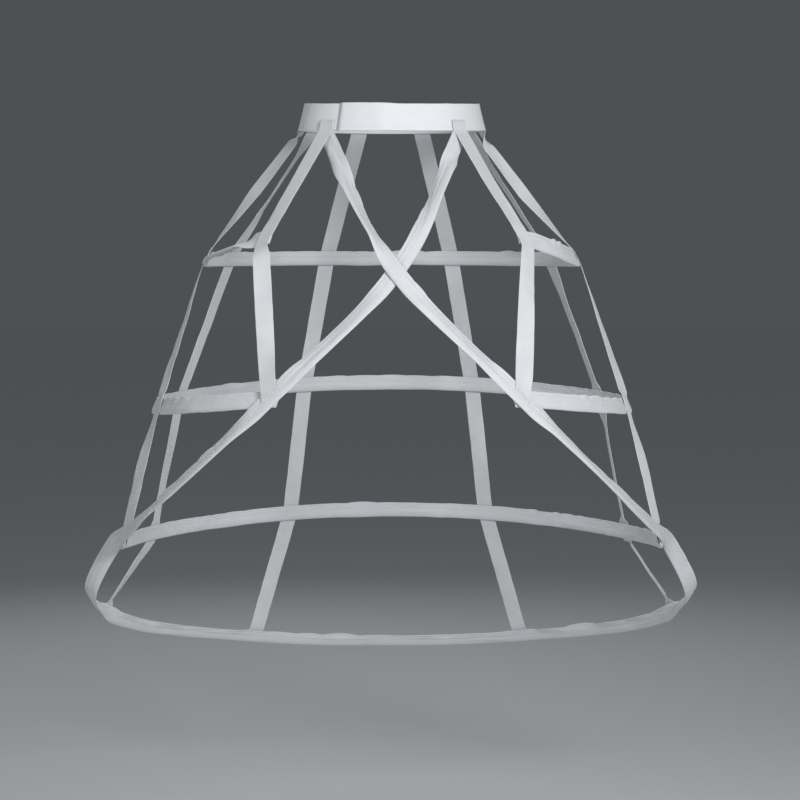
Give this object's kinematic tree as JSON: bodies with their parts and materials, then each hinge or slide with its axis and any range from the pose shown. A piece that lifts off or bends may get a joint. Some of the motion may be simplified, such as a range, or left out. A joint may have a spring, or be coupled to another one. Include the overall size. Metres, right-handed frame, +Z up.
{
  "type": "crinoline cage",
  "caption": "Open hoop skirt frame of white woven tapes and boned fabric casings, hung from a lapped waistband, with a bone that crosses in front and runs round a hem dipping to the back.",
  "frame": {"origin": "centre of the waist opening at mid height of the waistband", "axes": "+Z up, +X to the right as seen from the front, so the front faces -Y"},
  "size_m": [0.932, 0.707, 0.8712],
  "materials": {
    "band_fabric": "smooth white woven band",
    "tape_fabric": "white twill tape",
    "casing_fabric": "white fabric casing, slightly puckered",
    "loop_strip": "looped white pile",
    "hook_strip": "white hook pile",
    "bone_plastic": "flat pale plastic bone",
    "tip_plastic": "pale grey cap"
  },
  "bodies": {
    "root": {"waistband": "band_fabric", "closure_loop_strip": "loop_strip", "closure_hook_strip": "hook_strip", "tape_front_left": "tape_fabric", "tape_front_right": "tape_fabric", "tape_side_left": "tape_fabric", "tape_side_right": "tape_fabric", "tape_rear_side_left": "tape_fabric", "tape_rear_side_right": "tape_fabric", "tape_back_left": "tape_fabric", "tape_back_right": "tape_fabric", "hoop_1_casing": "casing_fabric", "hoop_2_casing": "casing_fabric", "hoop_3_casing": "casing_fabric", "hem_casing": "casing_fabric", "hoop_1_bone": "bone_plastic", "hoop_2_bone": "bone_plastic", "hoop_3_bone": "bone_plastic", "hem_bone": "bone_plastic", "hoop_1_tip_left": "tip_plastic", "hoop_1_tip_right": "tip_plastic", "hoop_2_tip_left": "tip_plastic", "hoop_2_tip_right": "tip_plastic", "hoop_3_tip_left": "tip_plastic", "hoop_3_tip_right": "tip_plastic", "hem_tip_left": "tip_plastic", "hem_tip_right": "tip_plastic"}
  },
  "joints": []
}
